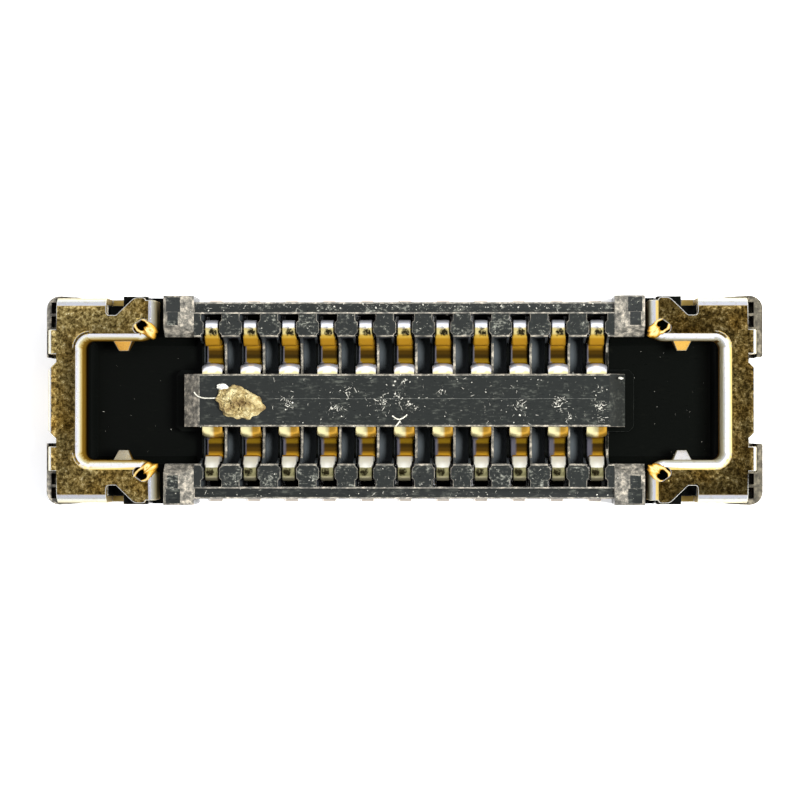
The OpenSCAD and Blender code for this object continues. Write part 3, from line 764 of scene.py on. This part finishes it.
def make_relief_rims(material):
    """The torn, crumpled lip of gold sheet round the relief hole at each arm's end."""
    for number, (x, y) in enumerate(RELIEF_HOLES):
        side, way = math.copysign(1, x), math.copysign(1, y)
        bpy.ops.object.select_all(action="DESELECT")
        bpy.ops.mesh.primitive_torus_add(major_segments=48, minor_segments=12,
                                         major_radius=1, minor_radius=0.3)
        lip = bpy.context.object
        lip.name = f"relief_lip_{number + 1}"
        seed = Vector((number * 5.3, 2.1, 0.7))
        turn = math.radians(35) * side * way
        for vertex in lip.data.vertices:
            co = vertex.co
            round_it = Vector((co.x, co.y, 0)).normalized()
            fuller = 0.75 + 2.0 * max(0.0, -round_it.x * side) ** 2
            ruffle = 0.3 * noise.noise(round_it * 2.1 + seed) + 0.16 * noise.noise(co * 5 + seed)
            co = round_it * (1 + 0.5 * ruffle) + (co - round_it) * fuller * (1 + ruffle)
            u, v = co.x * 0.084, co.y * 0.056
            vertex.co = ((x + u * math.cos(turn) - v * math.sin(turn)) * MM,
                         (y + u * math.sin(turn) + v * math.cos(turn)) * MM,
                         (0.583 + co.z * 0.075) * MM)
        lip.data.materials.append(material)
        select_only(lip)
        bpy.ops.object.shade_smooth()
        finish_piece(lip, "plate_gold")


def make_camera():
    """Straight above with a slight lean, half of it taken up by shift, as the photograph's keystone
    asks, so that the part fills the photograph's frame."""
    distance = 22.0
    lean_x, lean_y = 0.65, -0.3
    middle = Vector(((PHOTO_SIZE / 2 - PART_PX[0]) / PX_PER_MM,
                     (PART_PX[1] - PHOTO_SIZE / 2) / PX_PER_MM, 0.5))
    stand_off = Vector((lean_x, lean_y, distance))
    aim = middle + Vector((lean_x / 2, lean_y / 2, 0.0))
    frame_width = PHOTO_SIZE / PX_PER_MM
    data = bpy.data.cameras.new("camera")
    data.sensor_width = 36
    data.lens = data.sensor_width * distance / frame_width
    data.shift_x = -lean_x / 2 / frame_width
    data.shift_y = -lean_y / 2 / frame_width
    data.clip_start = 0.5 * MM
    data.clip_end = 1.0
    camera = bpy.data.objects.new("camera", data)
    bpy.context.scene.collection.objects.link(camera)
    camera.location = (middle + stand_off) * MM
    lean = (middle + stand_off - aim).normalized()
    right = Vector((0, 1, 0)).cross(lean).normalized()
    up = lean.cross(right)
    camera.rotation_euler = Matrix((right, up, lean)).transposed().to_euler()
    bpy.context.scene.camera = camera


def box_distance(tree, axis, across, along, power):
    """How far a place is from a rounded box's middle, 1 being its edge. The box is given as its
    middle and half length on X and on Y."""
    parts = []
    for name, (middle, half) in (("X", across), ("Y", along)):
        off = add(tree, "ShaderNodeMath", {0: axis.outputs[name], 1: middle}, operation="SUBTRACT")
        ratio = add(tree, "ShaderNodeMath", {0: off, 1: half}, operation="DIVIDE")
        size = add(tree, "ShaderNodeMath", {0: ratio}, operation="ABSOLUTE")
        parts.append(add(tree, "ShaderNodeMath", {0: size, 1: power}, operation="POWER"))
    return add(tree, "ShaderNodeMath", {0: parts[0], 1: parts[1]}, operation="ADD")


def make_floor():
    """Matt white card lit through from behind, so the part stands out as on a cut-out picture. Its
    glow is cut out under the part, a painted shadow that keeps the slots that go through dark."""
    material, tree, shader, place = new_material("white_card", Roughness=0.9)
    fibre = add(tree, "ShaderNodeTexNoise", {"Vector": place}, Scale=1 / (2.0 * MM), Detail=2.0)
    colour = ramp(tree, fibre, (0.3, 0.88), (0.7, 0.92))
    axis = add(tree, "ShaderNodeSeparateXYZ", {0: place})
    outside = box_distance(tree, axis, (0.0, 3.1 * MM), (0.0, 0.84 * MM), 10.0)
    glow_with_painted_shadow = ramp(tree, outside, (0.6, 0.0), (1.0, 0.36))
    shader.inputs["Emission Color"].default_value = grey(1.0)
    connect(tree, shader, Base_Color=colour, Emission_Strength=glow_with_painted_shadow)
    bpy.ops.object.select_all(action="DESELECT")
    bpy.ops.mesh.primitive_plane_add(size=0.6, location=(0, 0, 0))
    floor = bpy.context.object
    floor.name = "floor"
    floor.data.materials.append(material)


def make_light():
    """A white tent, brightest and reaching the floor at the picture's upper left, with a dark hole
    round the lens overhead, and one lamp high on the right."""
    world = bpy.data.worlds.new("light_tent")
    bpy.context.scene.world = world
    world.use_nodes = True
    tree = world.node_tree
    tree.nodes.clear()
    way = add(tree, "ShaderNodeTexCoord").outputs["Generated"]
    axis = add(tree, "ShaderNodeSeparateXYZ", {0: way})
    hole = box_distance(tree, axis, (0.21, 0.43), (-0.21, 0.42), 4.0)
    outside = ramp(tree, hole, (0.75, 0.0), (1.0, 1.0))
    side = add(tree, "ShaderNodeMath", {0: axis.outputs["Y"], 1: axis.outputs["X"]},
               operation="SUBTRACT")
    side = add(tree, "ShaderNodeMath", {0: side, 1: 0.35, 2: 0.5}, operation="MULTIPLY_ADD")
    low = ramp(tree, side, (0.35, 0.8), (0.65, 1.0))
    high = ramp(tree, side, (0.1, 0.75), (0.8, 1.0))
    height = ramp(tree, axis.outputs["Z"], (0.35, 0.0), (0.6, 1.0))
    level = add(tree, "ShaderNodeMix", {0: height, 6: low, 7: high}, data_type="RGBA")
    lit = add(tree, "ShaderNodeMath", {0: level.outputs[2], 1: outside}, operation="MULTIPLY")
    total = add(tree, "ShaderNodeMath", {0: lit, 1: 1.15, 2: 0.085}, operation="MULTIPLY_ADD")
    background = add(tree, "ShaderNodeBackground", {"Strength": total},
                     Color=(0.97, 0.975, 1.0, 1.0))
    add(tree, "ShaderNodeOutputWorld", {"Surface": background})
    lamp = bpy.data.lights.new("high_lamp", "AREA")
    lamp.shape = "DISK"
    lamp.size = 6.0 * MM
    lamp.energy = 0.0105
    lamp_object = bpy.data.objects.new("high_lamp", lamp)
    lamp_object.visible_glossy = False
    bpy.context.scene.collection.objects.link(lamp_object)
    place = Vector((8.4, 0.0, 17.0))
    lamp_object.location = place * MM
    lamp_object.rotation_euler = place.to_track_quat("Z", "Y").to_euler()
    bpy.context.scene.view_settings.view_transform = "Standard"


def make_fittings():
    """Both fittings and their torn lips. The mouth's upright faces carry a painted shade on the
    left and a painted reflection of the tent on the right."""
    # The folds and the torn lips carry painted highlights, picked by how far each face looks up
    bent = bent_gold("gold_folds_painted_highlight", (
        "#8c7642", "#b2a57e", "#b9b5a0", "#b2b3ad", "#a9abb6", "#d8c27a", "#d0b264"), turn=0.1)
    mouths = {
        "left": bent_gold("gold_mouth_left_painted_light", (
            "#a57c22", "#bf9232", "#e6d28c", "#d6d3bc", "#cfd0da", "#f0d88a", "#d0b264"),
            "#30260e"),
        "right": bent_gold("gold_mouth_right_painted_light", (
            "#e9dfba", "#e9dfba", "#e2e2d4", "#dedfe8", "#dcdde8", "#f0d88a", "#d0b264"),
            "#7a5c1c")}
    torn = bent_gold("gold_torn_lip_painted_highlight", (
        "#6a480e", "#9c7018", "#d09c30", "#eab44a", "#f6e2a4", "#f0d88a", "#d0b264"))
    flats = {
        "left": rolled_gold("flash_gold_rolled_left", (
            "#302610", "#746236", "#bda768", "#fff0c0")),
        # The right plate's copy is darker: a painted shade on the same rolled gold
        "right": rolled_gold("flash_gold_rolled_right_painted_shade", (
            "#241c0a", "#5c4c26", "#a08a50", "#f4e0a8"))}
    for side in ("left", "right"):
        make_fitting(side, flats[side], bent, torn, mouths[side])
    make_relief_rims(torn)


def make_litter():
    """What lies on the island's top: a flake of foil and flux, a scrap of paper, a chip, a hair, a
    forked fibre and dust."""
    foil = speckled("foil_and_flux", [
        (0.3, "#35260f"), (0.38, "#655434"), (0.5, "#83744c"), (0.68, "#b7ae88")], 0.11, 0.45)
    pale = speckled("dust", [(0.35, "#66655c"), (0.6, "#b8b6ab")], 0.01, 0.8)
    fibres = speckled("hair_and_lint", [(0.35, "#8a887c"), (0.6, "#c2bfb2")], 0.01, 0.8)
    chalky = speckled("paper_scrap", [(0.35, "#a8a69c"), (0.6, "#dcdad2")], 0.03, 0.8)
    make_flake("foil_flake", (-1.51, -0.04), (0.225, 0.165), 0.072, 6, 0, foil)
    make_flake("paper_scrap", (-1.652, 0.118), (0.056, 0.034), 0.05, 4, 2, chalky)
    make_flake("chipped_corner", (1.962, 0.198), (0.022, 0.013), 0.005, 4, 4, pale)
    make_thread("hair", [
        (-1.905, 0.075, 0.526), (-1.885, 0.04, 0.528), (-1.84, 0.02, 0.53),
        (-1.77, 0.016, 0.535), (-1.69, 0.022, 0.56)], 0.006, fibres)
    make_thread("fibre_fork", [
        (-0.105, -0.14, 0.53), (-0.06, -0.18, 0.535), (-0.035, -0.19, 0.54),
        (0.03, -0.13, 0.53)], 0.006, fibres)
    make_thread("fibre_stem", [
        (-0.035, -0.185, 0.54), (-0.05, -0.21, 0.53), (-0.075, -0.235, 0.525)], 0.007, fibres)
    make_dust(pale)


make_camera()
make_light()
make_floor()
make_housing()
make_fittings()
make_contacts(contact_gold())
make_seam()
make_litter()
